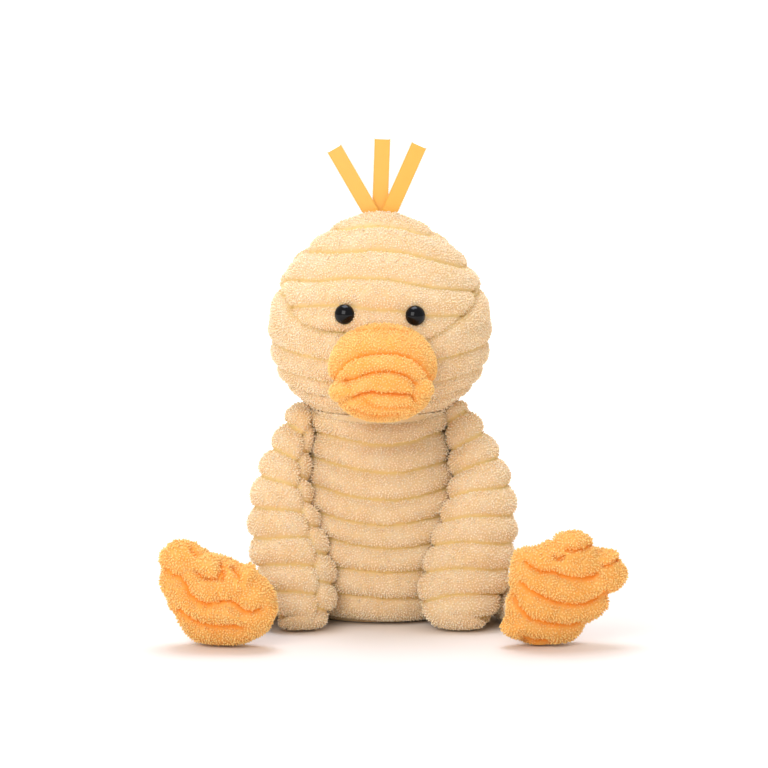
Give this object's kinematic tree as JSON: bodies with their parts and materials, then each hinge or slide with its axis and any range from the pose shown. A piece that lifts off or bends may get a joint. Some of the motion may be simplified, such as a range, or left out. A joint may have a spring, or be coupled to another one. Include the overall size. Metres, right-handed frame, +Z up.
{
  "type": "plush duck",
  "caption": "Seated soft duck of wide-wale cord plush with a padded bill, glossy eyes, a ribbon crest, hanging arms and splayed webbed feet.",
  "frame": {"origin": "middle of the flat seat, on the surface that the duck sits on", "axes": "+Z up; -Y is the way the face looks; +X to the right as seen from the front"},
  "size_m": [0.1906, 0.1518, 0.2139],
  "materials": {
    "cream_plush": "wide-wale cord plush",
    "orange_plush": "wide-wale cord plush",
    "fibre_filling": "loose polyester fibre",
    "pouch_cloth": "plain woven cloth",
    "black_gloss": "polished",
    "washer_plastic": "as moulded",
    "satin_ribbon": "satin weave",
    "sewing_thread": "twisted thread"
  },
  "bodies": {
    "root": {"body_skin": "cream_plush", "body_filling": "fibre_filling", "pellet_pouch": "pouch_cloth"},
    "neck": {"neck_plug": "fibre_filling", "neck_thread": "sewing_thread"},
    "head": {"head_skin": "cream_plush", "head_filling": "fibre_filling", "bill_skin": "orange_plush", "bill_filling": "fibre_filling", "eye_left": "black_gloss", "eye_right": "black_gloss", "eye_washer_left": "washer_plastic", "eye_washer_right": "washer_plastic"},
    "ribbon_left": {"ribbon_left": "satin_ribbon"},
    "ribbon_middle": {"ribbon_middle": "satin_ribbon"},
    "ribbon_right": {"ribbon_right": "satin_ribbon"},
    "arm_left": {"arm_left_skin": "cream_plush", "arm_left_filling": "fibre_filling"},
    "leg_left": {"leg_left_skin": "cream_plush", "leg_left_filling": "fibre_filling"},
    "foot_left": {"foot_left_skin": "orange_plush", "foot_left_filling": "fibre_filling"},
    "arm_right": {"arm_right_skin": "cream_plush", "arm_right_filling": "fibre_filling"},
    "leg_right": {"leg_right_skin": "cream_plush", "leg_right_filling": "fibre_filling"},
    "foot_right": {"foot_right_skin": "orange_plush", "foot_right_filling": "fibre_filling"}
  },
  "joints": [
    {"name": "neck_turn", "type": "hinge", "parent": "root", "child": "neck", "pos_m": [0, 0, 0.138], "axis": [0, 0, 1], "range_deg": [-35, 35], "stiffness_Nm_per_rad": 0.2},
    {"name": "neck_nod", "type": "hinge", "parent": "neck", "child": "head", "pos_m": [0, 0, 0.138], "axis": [-1, 0, 0], "range_deg": [-12, 15], "stiffness_Nm_per_rad": 0.3},
    {"name": "shoulder_left", "type": "hinge", "parent": "root", "child": "arm_left", "pos_m": [-0.038, -0.005, 0.086], "axis": [-0.9063, 0.4226, 0], "range_deg": [0, 60]},
    {"name": "shoulder_right", "type": "hinge", "parent": "root", "child": "arm_right", "pos_m": [0.038, -0.005, 0.086], "axis": [-0.9063, -0.4226, 0], "range_deg": [0, 60]},
    {"name": "hip_left", "type": "hinge", "parent": "root", "child": "leg_left", "pos_m": [-0.049, -0.006, 0.0007], "axis": [0.9135, -0.4067, 0], "range_deg": [0, 60]},
    {"name": "ankle_left", "type": "hinge", "parent": "leg_left", "child": "foot_left", "pos_m": [-0.07727, -0.06949, 0.008], "axis": [0.9135, -0.4067, 0], "range_deg": [-10, 35], "stiffness_Nm_per_rad": 0.06},
    {"name": "hip_right", "type": "hinge", "parent": "root", "child": "leg_right", "pos_m": [0.049, -0.006, 0.0007], "axis": [0.9135, 0.4067, 0], "range_deg": [0, 60]},
    {"name": "ankle_right", "type": "hinge", "parent": "leg_right", "child": "foot_right", "pos_m": [0.07727, -0.06949, 0.008], "axis": [0.9135, 0.4067, 0], "range_deg": [-10, 35], "stiffness_Nm_per_rad": 0.06},
    {"name": "ribbon_left_bend", "type": "hinge", "parent": "head", "child": "ribbon_left", "pos_m": [-0.0046, -0.0009, 0.1823], "axis": [1, 0, 0], "range_deg": [0, 60], "stiffness_Nm_per_rad": 0.0005},
    {"name": "ribbon_middle_bend", "type": "hinge", "parent": "head", "child": "ribbon_middle", "pos_m": [0, 0.0009, 0.1823], "axis": [-1, 0, 0], "range_deg": [0, 60], "stiffness_Nm_per_rad": 0.0005},
    {"name": "ribbon_right_bend", "type": "hinge", "parent": "head", "child": "ribbon_right", "pos_m": [0.0046, -0.0009, 0.1823], "axis": [1, 0, 0], "range_deg": [0, 60], "stiffness_Nm_per_rad": 0.0005}
  ]
}
